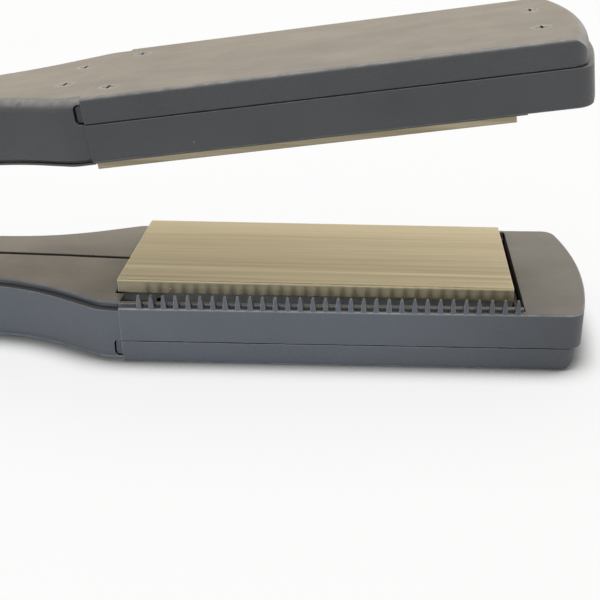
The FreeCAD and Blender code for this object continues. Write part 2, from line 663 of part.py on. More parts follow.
def plate_end_block(arm):
    """Heat-resistant block under the plate's rear overhang, plugged into the channel by two tongues."""
    y = arm.plate_y
    under = PLATE_TOP_Z - PLATE_SLAB
    reach = PLATE_WIDTH / 2 - CHANNEL_INSET
    step_x = CHANNEL_START_X - 2
    raised = arm.plate_line(CHANNEL_START_X) - PLATE_TOP_Z
    rear_foot = under - END_BLOCK_DEPTH - raised
    front_foot = under - END_BLOCK_STEP - raised
    body = box(PLATE_START_X + 0.6, step_x, y - reach, y + reach, rear_foot, under)
    body = body.fuse(box(step_x, CHANNEL_START_X, y - reach, y + reach, front_foot, under))
    body = body.cut(box(PLATE_START_X, CHANNEL_START_X + 1, y - 6, y + 6, 0, under - 0.7))
    for sign in (-1, 1):
        wall = y + sign * (reach - CHANNEL_WALL)
        y0, y1 = sorted((wall, wall - 3 * sign))
        body = body.fuse(box(CHANNEL_START_X, CHANNEL_START_X + END_TONGUE_LENGTH, y0, y1,
                             front_foot, under))
    return tilt_with_plate(arm, body.removeSplitter())


def heater(arm):
    """Flat ceramic heater with two contact pads at its rear end."""
    y = arm.plate_y
    top = PLATE_TOP_Z - PLATE_SLAB
    body = box(HEATER_X0, HEATER_X1, y - 10, y + 10, top - HEATER_THICK, top)
    for pad_y in (y - 4, y + 4):
        body = body.fuse(box(HEATER_X0 + 1, HEATER_X0 + 7, pad_y - 2, pad_y + 2,
                             top - HEATER_THICK - 0.2, top - HEATER_THICK + 0.2))
    return tilt_with_plate(arm, body)


def insulator(arm):
    """Mica sheet between the heater and its clip, cut away over the contact pads."""
    y = arm.plate_y
    top = PLATE_TOP_Z - PLATE_SLAB - HEATER_THICK
    body = box(HEATER_X0 + 8, HEATER_X1 + 1, y - 11, y + 11, top - 0.4, top)
    return tilt_with_plate(arm, body)


def heater_clip(arm):
    """Spring-steel clip whose four arms snap into the plate's grooves."""
    y = arm.plate_y
    z0 = PLATE_TOP_Z - CLIP_DEPTH
    reach = PLATE_WIDTH / 2 - CHANNEL_INSET - CHANNEL_WALL + 0.4
    body = box(HEATER_X0 + 10, HEATER_X1 - 2, y - 7, y + 7, z0, z0 + CLIP_THICK)
    for x in (HEATER_X0 + 14, HEATER_X1 - 12):
        body = body.fuse(box(x, x + 6, y - reach, y + reach, z0, z0 + CLIP_THICK))
    for x in (HEATER_X0 + 24, HEATER_X1 - 22):
        body = body.cut(rod(2, (x, y, z0 - 1), (0, 0, 1), 4))
    return tilt_with_plate(arm, body)


def thermistor(arm):
    """Bead sensor pressed against the underside of the plate beyond the heater."""
    y = arm.plate_y + 6
    z = PLATE_TOP_Z - PLATE_SLAB - 1.2
    bead = rod(1.2, (HEATER_X1 + 2, y, z), (1, 0, 0), 4)
    tip = Part.makeSphere(1.2, Vector(HEATER_X1 + 6, y, z))
    return tilt_with_plate(arm, bead.fuse(tip))


def thermal_fuse(arm):
    """Cut-out capsule beside the heater of the upper plate."""
    y = arm.plate_y - 13.5
    z = PLATE_TOP_Z - PLATE_SLAB - 1.5
    can = rod(1.5, (PLATE_MID_X + 3, y, z), (1, 0, 0), 12)
    stem = rod(0.8, (PLATE_MID_X + 1, y, z), (1, 0, 0), 16)
    return tilt_with_plate(arm, can.fuse(stem))


def plate_spring(arm, x):
    """Coil spring that presses the plate up against the carrier's windows."""
    under = arm.plate_line(x) - PLATE_SLAB - 0.1
    return coil(x, arm.plate_y, CARRIER_FLOOR_Z, under, 2.6, 0.5, 3.5)


def wire(points, radius, setback=3.0):
    """Insulated lead along straight runs with a round bend at each point between them."""
    points = [Vector(*point) for point in points]
    path = []
    start = points[0]
    for before, corner, after in zip(points, points[1:], points[2:]):
        back = (before - corner).normalize()
        ahead = (after - corner).normalize()
        half_angle = back.getAngle(ahead) / 2
        nearest = setback * (1 - math.sin(half_angle)) / math.cos(half_angle)
        middle = corner + (back + ahead).normalize() * nearest
        path.append(line(start, corner + back * setback))
        path.append(arc(corner + back * setback, middle, corner + ahead * setback))
        start = corner + ahead * setback
    path.append(line(start, points[-1]))
    profile = Part.Wire(Part.makeCircle(radius, points[0], points[1] - points[0]))
    return Part.Wire(path).makePipeShell([profile], True, True)


def heater_leads(arm):
    """Pair of leads from the heater's pads through the neck to the handle."""
    leads = []
    for side in (-1, 1):
        run = [
            (HEATER_X0 - 1.2, arm.plate_y + 4.6 * side, 11.3),
            (PLATE_SPRING_X[0], arm.plate_y + 4.8 * side, 10.8),
            (HEAD_START_X, arm.plate_y + 4.0 * side, 10.2),
            (TONGUE_X, arm.plate_y + 2.5 * side, 9.8),
        ]
        if arm is LOWER:
            run += [(15, 2.0 * side, 9.2), (BOARD_X1 - 1, 1.5 * side, 9.2)]
        else:
            run += [(0, 1.5 * side, 7.5), (-100, 2.5 * side, 8.5), (SPRING_X, 1.5 * side, 11.0)]
        leads.append(wire(run, 0.9))
    return Part.makeCompound(leads)


def panel_blank(gap):
    """Block that the control panel fills, grown by a gap for the hole it drops into."""
    x0 = PANEL_X - PANEL_LENGTH / 2 - gap
    half = PANEL_WIDTH / 2 + gap
    block = box(x0, x0 + PANEL_LENGTH + 2 * gap, -half, half, PANEL_FOOT_Z, PANEL_Z + gap)
    corners = [edge for edge in block.Edges if edge.BoundBox.ZLength > 1]
    return block.makeFillet(4.0, corners)


def rocker_opening():
    """Rectangular hole for the rocker, with sockets for its trunnions."""
    half = ROCKER_WIDTH / 2 + 0.25
    hole = box(ROCKER_X - ROCKER_HALF - 1.0, ROCKER_X + ROCKER_HALF + 1.0, -half, half, 0, 30)
    sockets = rod(0.85, (ROCKER_X, -half - 1.1, ROCKER_Z), (0, 1, 0), 2 * half + 2.2)
    return hole.fuse(sockets)


def control_panel():
    """Bezel for the switch, lamp and dial, with a foot that is trapped under the liners."""
    body = panel_blank(0)
    x0 = PANEL_X - PANEL_LENGTH / 2
    foot = box(x0 - 1.2, x0 + PANEL_LENGTH + 1.2, -PANEL_WIDTH / 2 - 1, PANEL_WIDTH / 2 + 1,
               PANEL_FOOT_Z, PANEL_FOOT_Z + 1)
    rim = [edge for edge in body.Edges if edge.BoundBox.ZMin > PANEL_Z - 0.01]
    body = body.makeFillet(0.5, rim).fuse(foot)
    body = body.cut(rocker_opening())
    body = body.cut(upright(DIAL_RADIUS + 0.5, DIAL_X, 0, PANEL_Z - 0.6, 30))
    body = body.cut(upright(3.3, DIAL_X, 0, 0, 30))
    body = body.cut(upright(1.65, LAMP_X, 0, 0, 30))
    well = box(DIAL_X - 6, DIAL_X + 6, -6, 6, 0, PANEL_Z - 1.8)
    return body.cut(well).removeSplitter()


def power_rocker():
    """Rocker with a dished top and round underside, lying in its off position."""
    lift = 3.0
    section = polygon([
        (ROCKER_X - ROCKER_HALF, 0, ROCKER_Z - 2.4),
        (ROCKER_X - ROCKER_HALF, 0, ROCKER_Z + lift),
        (ROCKER_X, 0, ROCKER_Z + 1.9),
        (ROCKER_X + ROCKER_HALF, 0, ROCKER_Z + lift),
        (ROCKER_X + ROCKER_HALF, 0, ROCKER_Z - 2.4),
    ])
    body = across(section, ROCKER_WIDTH / 2)
    top = [edge for edge in body.Edges if edge.BoundBox.ZMin > ROCKER_Z + 1 and edge.BoundBox.YLength < 0.01]
    body = body.makeFillet(0.5, top)
    pins = rod(0.8, (ROCKER_X, -ROCKER_WIDTH / 2 - 1.1, ROCKER_Z), (0, 1, 0), ROCKER_WIDTH + 2.2)
    body = body.fuse(pins)
    body.rotate(Vector(ROCKER_X, 0, ROCKER_Z), Vector(0, 1, 0), ROCKER_THROW)
    return body


def switch_block():
    """Switch body on the board under the rocker, with its two tab terminals."""
    body = box(ROCKER_X - 8, ROCKER_X + 8, -5.5, 5.5, BOARD_Z + BOARD_THICK, 11.2)
    corners = [edge for edge in body.Edges if edge.BoundBox.ZLength > 1]
    body = body.makeFillet(0.8, corners)
    for y in (-3, 3):
        body = body.fuse(box(ROCKER_X - 10.5, ROCKER_X - 8, y - 1.5, y + 1.5, 9, 9.8))
    return body


def temperature_dial():
    """Thumb dial with a fluted edge, a pointer ridge and a D-shaped shaft."""
    bottom = PANEL_Z - 0.4
    body = upright(DIAL_RADIUS, DIAL_X, 0, bottom, DIAL_TOP_Z)
    rim = [edge for edge in body.Edges if edge.BoundBox.ZMin > DIAL_TOP_Z - 0.01]
    body = body.makeFillet(0.4, rim)
    flutes = []
    for number in range(DIAL_FLUTES):
        angle = 2 * math.pi * (number + 0.5) / DIAL_FLUTES
        reach = DIAL_RADIUS + 0.35
        flutes.append(upright(0.75, DIAL_X + reach * math.cos(angle), reach * math.sin(angle),
                              bottom - 1, DIAL_TOP_Z + 1))
    body = body.cut(flutes)
    ridge = box(DIAL_X - 0.6, DIAL_X + 0.6, 2.2, 7.2, DIAL_TOP_Z - 0.2, DIAL_TOP_Z + 0.5)
    shaft = upright(3.0, DIAL_X, 0, BOARD_Z + BOARD_THICK + 1, bottom + 0.1)
    flat = box(DIAL_X + 2.2, DIAL_X + 4, -4, 4, 0, bottom - 3)
    return body.fuse(ridge).fuse(shaft.cut(flat))


def dial_pot():
    """Rotary control on the board that the dial's shaft turns in."""
    z0 = BOARD_Z + BOARD_THICK
    body = box(DIAL_X - 5.5, DIAL_X + 5.5, -5.5, 5.5, z0, z0 + 4.5)
    corners = [edge for edge in body.Edges if edge.BoundBox.ZLength > 1]
    body = body.makeFillet(0.8, corners)
    return body.cut(upright(3.1, DIAL_X, 0, z0 + 0.9, 30))


def indicator_lens():
    """Light pipe that stands over the board's lamp and shows as a small dome in the panel."""
    z0 = BOARD_Z + BOARD_THICK + 2.2
    stem = upright(1.55, LAMP_X, 0, z0, PANEL_Z)
    dome = Part.makeSphere(1.55, Vector(LAMP_X, 0, PANEL_Z))
    return stem.fuse(dome)


def control_board():
    """Circuit board with a lamp, capacitor, triac on its heat sink and a chip."""
    z0 = BOARD_Z + BOARD_THICK
    body = box(BOARD_X0, BOARD_X1, -9.5, 9.5, BOARD_Z, z0)
    body = body.fuse(upright(1.4, LAMP_X, 0, z0, z0 + 2.0))
    body = body.fuse(rod(3.0, (BOARD_X0 + 9, -5.5, z0 + 2.8), (1, 0, 0), 12))
    body = body.fuse(box(BOARD_X0 + 8, BOARD_X0 + 20, 3, 8, z0, z0 + 4))
    body = body.fuse(box(BOARD_X0 + 9, BOARD_X0 + 10.5, 1, 9, z0, z0 + 5))
    body = body.fuse(box(BOARD_X1 - 11, BOARD_X1 - 4.5, -3, 5, z0, z0 + 1.2))
    body = body.fuse(box(BOARD_X0 + 44, BOARD_X0 + 51, -8.5, -6, z0, z0 + 2.5))
    for x in (BOARD_X0 + 3, BOARD_X1 - 3):
        for y in (-6.5, 6.5):
            body = body.cut(upright(0.9, x, y, 0, 20))
    return body


def hinge_pin():
    """Steel pin held in the two ears."""
    reach = REAR_HALF_WIDTH - CAP_THICK - 0.05
    pin = rod(PIN_RADIUS, (HINGE_X, -reach, LOWER.hinge_z), (0, 1, 0), 2 * reach)
    return pin.makeChamfer(0.4, [edge for edge in pin.Edges if edge.BoundBox.YLength < 0.01])


def hinge_bushes():
    """Pair of nylon bushes pressed into the barrel, which run on the pin."""
    length = KNUCKLE_HALF - BARREL_GAP
    bushes = []
    for y in (-KNUCKLE_HALF, BARREL_GAP):
        sleeve = rod(BUSH_RADIUS, (HINGE_X, y, LOWER.hinge_z), (0, 1, 0), length)
        bushes.append(sleeve.cut(rod(PIN_RADIUS + RUNNING_FIT, (HINGE_X, -30, LOWER.hinge_z), (0, 1, 0), 60)))
    return Part.makeCompound(bushes)


def hinge_caps():
    """Slightly domed caps that close the pin's holes in the ears."""
    caps = []
    for sign in (-1, 1):
        cap = rod(CAP_RADIUS, (HINGE_X, sign * (REAR_HALF_WIDTH - CAP_THICK), LOWER.hinge_z),
                  (0, sign, 0), CAP_THICK + 0.5)
        outer = [edge for edge in cap.Edges if abs(edge.BoundBox.Center.y) > REAR_HALF_WIDTH
                 and edge.BoundBox.YLength < 0.01]
        caps.append(cap.makeFillet(0.45, outer))
    return Part.makeCompound(caps)


def opening_spring():
    """Coil spring that stands on the lower shell and pushes the jaws apart."""
    lift = (SPRING_X - HINGE_X) * math.tan(math.radians(OPEN_ANGLE - PLATE_TILT))
    radius = 4.0
    tilt_room = radius * math.tan(math.radians(OPEN_ANGLE)) + 0.3
    top = LOWER.hinge_z + lift + LINER_GAP - tilt_room
    return coil(SPRING_X, SPRING_Y, SPRING_SEAT_Z, top, radius, 0.55, 6)


def cord_collar():
    """Swivel collar that turns in the rear wall, with a trumpet-shaped mouth for the cord."""
    bore_rear = COLLAR_END_X
    outer = 5.8
    wall_in = REAR_X + WALL + 0.15
    half = [
        (bore_rear, COLLAR_BORE + 0.6),
        (bore_rear, outer - 1.0),
        (bore_rear + 1.0, outer),
        (REAR_X - 0.15, outer),
        (REAR_X - 0.15, COLLAR_NECK),
        (wall_in, COLLAR_NECK),
        (wall_in, outer - 0.3),
        (wall_in + 1.8, outer - 0.8),
        (wall_in + 1.8, COLLAR_BORE),
        (bore_rear + 1.2, COLLAR_BORE),
    ]
    section = polygon([(x, 0, COLLAR_Z + r) for x, r in half])
    body = section.revolve(Vector(0, 0, COLLAR_Z), Vector(1, 0, 0), 360)
    grooves = []
    for number in range(12):
        groove = rod(0.5, (bore_rear - 1, 0, COLLAR_Z + outer + 0.15), (1, 0, 0), REAR_X - bore_rear + 0.4)
        groove.rotate(Vector(0, 0, COLLAR_Z), Vector(1, 0, 0), 30 * number)
        grooves.append(groove)
    return body.cut(grooves)


def cord_clamp():
    """Saddle that grips the cord's sheath on the floor of the handle."""
    z0 = COLLAR_Z - 3.2
    body = box(CLAMP_X - 3, CLAMP_X + 3, -7.2, 7.2, z0, COLLAR_Z + 4.6)
    body = body.cut(rod(COLLAR_BORE - 0.1, (CLAMP_X - 5, 0, COLLAR_Z), (1, 0, 0), 10))
    body = body.cut(box(CLAMP_X - 5, CLAMP_X + 5, -3.1, 3.1, 0, COLLAR_Z))
    for y in (-CLAMP_SCREW_Y, CLAMP_SCREW_Y):
        body = body.cut(upright(SCREW_SHANK + SCREW_CLEARANCE, CLAMP_X, y, 0, 30))
    return body


def clamp_screws():
    """Two round-headed screws through the clamp."""
    screws = []
    for y in (-CLAMP_SCREW_Y, CLAMP_SCREW_Y):
        head = upright(1.9, CLAMP_X, y, COLLAR_Z + 4.6, COLLAR_Z + 5.9)
        shank = upright(SCREW_SHANK, CLAMP_X, y, 1.2, COLLAR_Z + 4.7)
        screws.append(head.fuse(shank).cut(box(CLAMP_X - 3, CLAMP_X + 3, y - 0.3, y + 0.3, COLLAR_Z + 5.2, 20)))
    return Part.makeCompound(screws)


def screws(places, length):
    """Group of identical countersunk screws."""
    return Part.makeCompound([screw_at(x, y, 0, length) for x, y in places])


def raise_upper(shape):
    """Turn an arm drawn plate upwards over on top of the other, hinged open by its full angle."""
    shape.rotate(Vector(0, 0, PLATE_TOP_Z), Vector(1, 0, 0), 180)
    shape.translate(Vector(0, 0, LOWER.hinge_z - PLATE_TOP_Z))
    shape.rotate(Vector(HINGE_X, 0, LOWER.hinge_z), Vector(0, 1, 0), PLATE_TILT - OPEN_ANGLE)
    return shape


def opening_stop():
    """Heel on the barrel that meets the lower shell's rear wall when the jaws are fully open."""
    wall_top = LOWER.plate_line(REAR_X) - LINER_GAP - LINER_PROUD
    return box(REAR_X + 0.2, REAR_X + 4.5, -6, 6, wall_top + 0.2, wall_top + 3.2)


def arm_parts(arm):
    """Parts that both arms have, each in its own node."""
    return {
        "head_frame": head_frame(arm),
        "head_cover": head_cover(),
        "liner_near": liner(arm, arm.near_side),
        "liner_far": liner(arm, -arm.near_side),
        "plate_carrier": plate_carrier(arm),
        "plate_spring_rear": plate_spring(arm, PLATE_SPRING_X[0]),
        "plate_spring_front": plate_spring(arm, PLATE_SPRING_X[1]),
        "heating_plate": heating_plate(arm),
        "plate_end_block": plate_end_block(arm),
        "heater": heater(arm),
        "heater_insulator": insulator(arm),
        "heater_clip": heater_clip(arm),
        "heater_leads": heater_leads(arm),
        "head_screws": screws(head_screws(), HEAD_SCREW_LENGTH),
        "handle_screws": screws(handle_screws(arm), SCREW_LENGTH),
    }


def build():
    """All nodes by name, in the frame of the resting object."""
    nodes = {"lower_" + name: shape for name, shape in arm_parts(LOWER).items()}
    nodes["lower_shell"] = lower_shell()
    nodes["lower_thermistor"] = thermistor(LOWER)
    for name, shape in arm_parts(UPPER).items():
        nodes["upper_" + name] = raise_upper(shape)
    nodes["upper_shell"] = raise_upper(upper_shell()).fuse(opening_stop()).removeSplitter()
    nodes["upper_thermal_fuse"] = raise_upper(thermal_fuse(UPPER))
    nodes["control_panel"] = control_panel()
    nodes["control_board"] = control_board()
    nodes["switch_block"] = switch_block()
    nodes["power_rocker"] = power_rocker()
    nodes["temperature_dial"] = temperature_dial()
    nodes["dial_pot"] = dial_pot()
    nodes["indicator_lens"] = indicator_lens()
    nodes["hinge_pin"] = hinge_pin()
    nodes["hinge_bushes"] = hinge_bushes()
    nodes["hinge_caps"] = hinge_caps()
    nodes["opening_spring"] = opening_spring()
    nodes["cord_collar"] = cord_collar()
    nodes["cord_clamp"] = cord_clamp()
    nodes["clamp_screws"] = clamp_screws()
    return nodes


os.makedirs("parts", exist_ok=True)
for node, solid in build().items():
    solid.exportStep("parts/" + node + ".step")
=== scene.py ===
import bpy
import json
import math
from mathutils import Matrix, Vector

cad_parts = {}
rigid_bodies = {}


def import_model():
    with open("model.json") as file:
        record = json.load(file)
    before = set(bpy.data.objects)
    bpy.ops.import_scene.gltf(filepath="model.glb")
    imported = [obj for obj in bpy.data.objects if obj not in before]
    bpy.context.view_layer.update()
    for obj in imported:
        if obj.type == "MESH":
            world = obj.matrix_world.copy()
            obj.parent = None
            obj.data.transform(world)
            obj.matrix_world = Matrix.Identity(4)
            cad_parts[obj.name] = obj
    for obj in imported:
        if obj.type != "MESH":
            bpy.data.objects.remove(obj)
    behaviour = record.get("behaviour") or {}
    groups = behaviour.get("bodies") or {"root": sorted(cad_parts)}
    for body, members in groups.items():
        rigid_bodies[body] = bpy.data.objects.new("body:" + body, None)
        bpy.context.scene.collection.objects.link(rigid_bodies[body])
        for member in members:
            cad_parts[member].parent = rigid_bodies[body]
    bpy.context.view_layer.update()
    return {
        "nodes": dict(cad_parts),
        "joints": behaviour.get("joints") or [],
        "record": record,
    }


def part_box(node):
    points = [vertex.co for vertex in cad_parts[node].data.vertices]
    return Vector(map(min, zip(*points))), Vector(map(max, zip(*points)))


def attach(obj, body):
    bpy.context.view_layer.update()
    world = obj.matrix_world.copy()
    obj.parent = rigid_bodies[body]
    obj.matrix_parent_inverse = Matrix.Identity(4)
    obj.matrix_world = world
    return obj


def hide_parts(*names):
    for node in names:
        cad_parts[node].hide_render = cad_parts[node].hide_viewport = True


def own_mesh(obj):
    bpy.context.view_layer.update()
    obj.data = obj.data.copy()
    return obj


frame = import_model()
joints = {joint["name"]: joint for joint in frame["joints"]}

# Camera, as found from the photograph: place in metres, angles in degrees, lens for a 36 mm sensor
CAMERA_PLACE = (0.11836, -0.22505, 0.11256)
CAMERA_YAW = -5.245
CAMERA_PITCH = 25.517
CAMERA_ROLL = 1.384
CAMERA_LENS = 60.61
SENSOR_WIDTH = 36.0
CLIP_START = 0.01

# Colours as linear red, green and blue
CHARCOAL = (0.068, 0.074, 0.085)
WARM_CHARCOAL = (0.078, 0.078, 0.08)
CHAMPAGNE = (0.46, 0.405, 0.275)
# Painted highlight on the plate's rounded edges
PAINTED_COATING_HIGHLIGHT = (0.9, 0.84, 0.66)
BARE_ALUMINIUM = (0.66, 0.71, 0.8)
BRIGHT_STEEL = (0.85, 0.85, 0.85)
NEAR_BLACK = (0.018, 0.018, 0.02)
PRINT_WHITE = (0.72, 0.72, 0.7)
LINT = (0.6, 0.6, 0.58)
PALE_SPECK = (0.95, 0.93, 0.86)
# Warm tint of the dust and of the painted sheen
DUST_AND_SHEEN_TINT = (1.0, 0.82, 0.56)
WHITE = (1.0, 1.0, 1.0)

# Moulded plastics: name, colour, grains to the metre, grain depth in metres, roughness, dust and painted
# sheen on level faces
PLASTICS = [
    ("shell_plastic", CHARCOAL, 2600.0, 0.00003, 0.5, 0.42),
    ("liner_plastic", WARM_CHARCOAL, 2200.0, 0.00002, 0.46, 0.42),
    ("carrier_plastic", (0.035, 0.035, 0.038), 1500.0, 0.00004, 0.6, 0.06),
    ("end_block_plastic", (0.3, 0.31, 0.31), 1500.0, 0.00004, 0.6, 0.06),
    ("nylon", (0.6, 0.59, 0.54), 900.0, 0.00001, 0.4, 0.06),
    ("cap_plastic", (0.05, 0.052, 0.058), 1800.0, 0.00001, 0.3, 0.06),
    ("panel_plastic", (0.026, 0.027, 0.03), 2000.0, 0.00001, 0.28, 0.06),
    ("rocker_plastic", (0.03, 0.03, 0.033), 2400.0, 0.00002, 0.42, 0.06),
    ("dial_plastic", (0.035, 0.036, 0.04), 2400.0, 0.00002, 0.42, 0.06),
    ("switch_plastic", NEAR_BLACK, 2000.0, 0.00001, 0.4, 0.06),
]

# Steels: name, colour, roughness
STEELS = [
    ("spring_steel", (0.55, 0.55, 0.57), 0.3),
    ("screw_steel", (0.2, 0.2, 0.21), 0.36),
    ("pin_steel", (0.7, 0.7, 0.72), 0.2),
]

# Small features in metres: radius of rounded edges, reach of the painted shade in hollows, and of the
# grooves, taken as in shade, that get no dust or painted sheen
PLASTIC_EDGE = 0.00035
COATING_EDGE = 0.0004
STEEL_EDGE = 0.0001
RUBBER_EDGE = 0.0003
SHADED_HOLLOW_REACH = 0.002
SHADED_GROOVE_REACH = 0.006

# The working faces of both plates lie in planes through the hinge axis, with these normals at rest
HINGE_LINE = joints["jaw_hinge"]["pos_m"]
PLATE_NORMALS = [joints[name]["axis"] for name in ("lower_plate_float", "upper_plate_float")]

# Coating of the plates: depth under the face at which it ends, and where across the plate its wear sets in
COATED_DEPTH = (0.0031, 0.0034)
WORN_FROM = -0.003
WORN_TO = -0.011

# What the joints that press springs take off their length, in metres
SPRING_TRAVEL = {"jaw_hinge": 0.0021, "lower_plate_float": 0.00125, "upper_plate_float": 0.00125}

# Printed marks in metres and degrees: dots that grow round the dial, a stroke and a ring on the rocker
PRINT_LIFT = 0.00003
SCALE_RADIUS = 0.0093
SCALE_START = 90.0
SCALE_DOTS = 10
SMALLEST_DOT = 0.00012
LARGEST_DOT = 0.00034
DOT_MIDDLE = 0.00001
RING_SIDES = 32
ROCKER_SLOPE = 9.06
ROCKER_RIDGE = 0.0019
MARK_REACH = 0.0038
STROKE_SIZE = (0.0004, 0.0024)
RING_RADII = (0.0012, 0.0008)

# Lamps: name, place, what they face, width, height, spread in degrees, watts, colour, seen in mirrors
LOOK_AT = (0.04, 0.0, 0.03)
STRIP_AIM = (0.05, 0.0, 0.012)
LAMPS = [
    ("overhead_softbox", (0.05, 0.5, 1.6), LOOK_AT, 1.3, 1.3, 180.0, 5.0, (1.0, 0.96, 0.9), True),
    ("side_softbox", (-1.1, -0.2, 0.9), LOOK_AT, 0.9, 0.9, 180.0, 0.6, (0.95, 0.97, 1.0), True),
    ("front_strip", (0.015, -0.3, 0.014), STRIP_AIM, 0.2, 0.02, 16.0, 0.021, (0.82, 0.92, 1.0), False),
]

# Light tent as light and as mirrored: axis, cosines between which it changes, tones away and along it
TENT = ((0.0, 0.6, 0.8), -0.35, 0.75, (0.1, 0.105, 0.115), (1.12, 1.09, 1.04))
TENT_MIRRORED = ((0.0, 0.1, 0.995), 0.82, 0.96, (1.3, 1.2, 1.02), (4.2, 4.0, 3.7))

# Floor: its tone as a surface that lights the object, and its tone, glow and contact shadow as it is seen
FLOOR_SIZE = 8.0
FLOOR_TONE = (0.42, 0.42, 0.42)
FLOOR_SHOWN = (0.88, 0.895, 0.92)
FLOOR_GLOW = 0.78
CONTACT_REACH = 0.0075
CONTACT_TONE = (0.1, 0.1, 0.1)


def shade(colour, factor):
    """A colour times a factor, or times one for each of red, green and blue."""
    factors = factor if isinstance(factor, tuple) else (factor, factor, factor)
    return tuple(part * by for part, by in zip(colour, factors))


class Wiring:
    """A node tree, with short calls for its nodes."""

    def __init__(self, tree):
        self.nodes = tree.nodes
        self.links = tree.links

    def feed(self, socket, value):
        """Puts a number, a vector, a colour or another node's output into a socket."""
        if isinstance(value, bpy.types.NodeSocket):
            self.links.new(value, socket)
        elif isinstance(value, tuple) and len(value) < len(socket.default_value):
            socket.default_value = (*value, 1.0)
        else:
            socket.default_value = value

    def work(self, operation, first, second):
        """One step of arithmetic on two numbers."""
        node = self.nodes.new("ShaderNodeMath")
        node.operation = operation
        self.feed(node.inputs[0], first)
        self.feed(node.inputs[1], second)
        return node.outputs[0]

    def vector_work(self, operation, first, second):
        """One step of arithmetic on two vectors."""
        node = self.nodes.new("ShaderNodeVectorMath")
        node.operation = operation
        self.feed(node.inputs[0], first)
        self.feed(node.inputs[1], second)
        return node.outputs["Value" if operation == "DOT_PRODUCT" else "Vector"]

    def spread(self, value, low, high, out_low=0.0, out_high=1.0, curve="LINEAR"):
        """Takes a value's range to another range and holds it there."""
        node = self.nodes.new("ShaderNodeMapRange")
        node.interpolation_type = curve
        for socket, number in zip(node.inputs[:5], (value, low, high, out_low, out_high)):
            self.feed(socket, number)
        return node.outputs["Result"]

    def mix(self, factor, first, second):
        """Mixes two colours."""
        node = self.nodes.new("ShaderNodeMix")
        node.data_type = "RGBA"
        self.feed(node.inputs["Factor"], factor)
        self.feed(node.inputs[6], first)
        self.feed(node.inputs[7], second)
        return node.outputs[2]


class Finish(Wiring):
    """A material whose colour is laid on in layers."""

    def __init__(self, name):
        self.material = bpy.data.materials.new(name)
        self.material.use_nodes = True
        super().__init__(self.material.node_tree)
        self.shader = self.nodes["Principled BSDF"]
        self.place = self.nodes.new("ShaderNodeTexCoord").outputs["Object"]
        self.colour = WHITE

    def ground(self, mask, first, second):
        """First layer: one colour where the mask is 0, another where it is 1."""
        self.colour = self.mix(mask, first, second)

    def layer(self, mask, colour, amount=1.0):
        """Lays a colour over those below where the mask is 1, as thick as the amount."""
        if amount < 1.0:
            mask = self.work("MULTIPLY", mask, amount)
        self.colour = self.mix(mask, self.colour, colour)

    def done(self, **values):
        """Sets the colour and the shader's other sockets by name, with underscores for spaces."""
        self.feed(self.shader.inputs["Base Color"], self.colour)
        for name, value in values.items():
            self.feed(self.shader.inputs[name.replace("_", " ")], value)
        return self.material

    def noise(self, scale, detail=2.0, roughness=0.5, stretch=(1, 1, 1)):
        """Noise with a number of features to the metre, stretched along the axes."""
        node = self.nodes.new("ShaderNodeTexNoise")
        self.feed(node.inputs["Vector"], self.vector_work("MULTIPLY", self.place, stretch))
        self.feed(node.inputs["Scale"], scale)
        self.feed(node.inputs["Detail"], detail)
        self.feed(node.inputs["Roughness"], roughness)
        return node.outputs["Fac"]

    def brushing(self, along, across, detail=3.0, roughness=0.6):
        """Noise drawn out along X, with a number of features to the metre along it and across it."""
        return self.noise(1.0, detail, roughness, (along, across, across))

    def cells(self, scale):
        """Distance to the nearest of scattered points."""
        node = self.nodes.new("ShaderNodeTexVoronoi")
        self.feed(node.inputs["Vector"], self.place)
        self.feed(node.inputs["Scale"], scale)
        return node.outputs["Distance"]

    def specks(self, scale, size, patches, bare):
        """Mask of small round specks, in patches that leave a share of the surface bare."""
        spots = self.spread(self.cells(scale), size, size - 0.008)
        return self.work("MULTIPLY", spots, self.spread(self.noise(patches), bare, bare + 0.04))

    def soft_edges(self, radius):
        """Normal that rounds off sharp edges, and a mask that is 1 on them."""
        bevel = self.nodes.new("ShaderNodeBevel")
        bevel.samples = 6
        self.feed(bevel.inputs["Radius"], radius)
        face = self.nodes.new("ShaderNodeNewGeometry").outputs["Normal"]
        turn = self.vector_work("DOT_PRODUCT", bevel.outputs[0], face)
        return bevel.outputs[0], self.spread(turn, 0.985, 0.8)

    def hollows(self, reach, start=0.6, end=0.1):
        """Mask that is 1 deep in gaps and corners narrower than a reach in metres."""
        node = self.nodes.new("ShaderNodeAmbientOcclusion")
        node.samples = 8
        self.feed(node.inputs["Distance"], reach)
        return self.spread(node.outputs["AO"], start, end)

    def depth_under(self, point, normal):
        """Depth in metres under the plane through a point, against its normal."""
        return self.vector_work("DOT_PRODUCT", self.vector_work("SUBTRACT", point, self.place), normal)

    def lying(self):
        """1 on faces that lie level in the object's own frame, either way up, and 0 on its sides."""
        facing = self.nodes.new("ShaderNodeSeparateXYZ")
        self.feed(facing.inputs[0], self.nodes.new("ShaderNodeTexCoord").outputs["Normal"])
        up = facing.outputs["Z"]
        return self.work("MAXIMUM", up, self.work("MULTIPLY", up, -1.0))

    def bump(self, height, depth, normal=None):
        """Bump from a height between 0 and 1, with its depth in metres."""
        node = self.nodes.new("ShaderNodeBump")
        self.feed(node.inputs["Strength"], 1.0)
        self.feed(node.inputs["Distance"], depth)
        self.feed(node.inputs["Height"], height)
        if normal is not None:
            self.feed(node.inputs["Normal"], normal)
        return node.outputs[0]


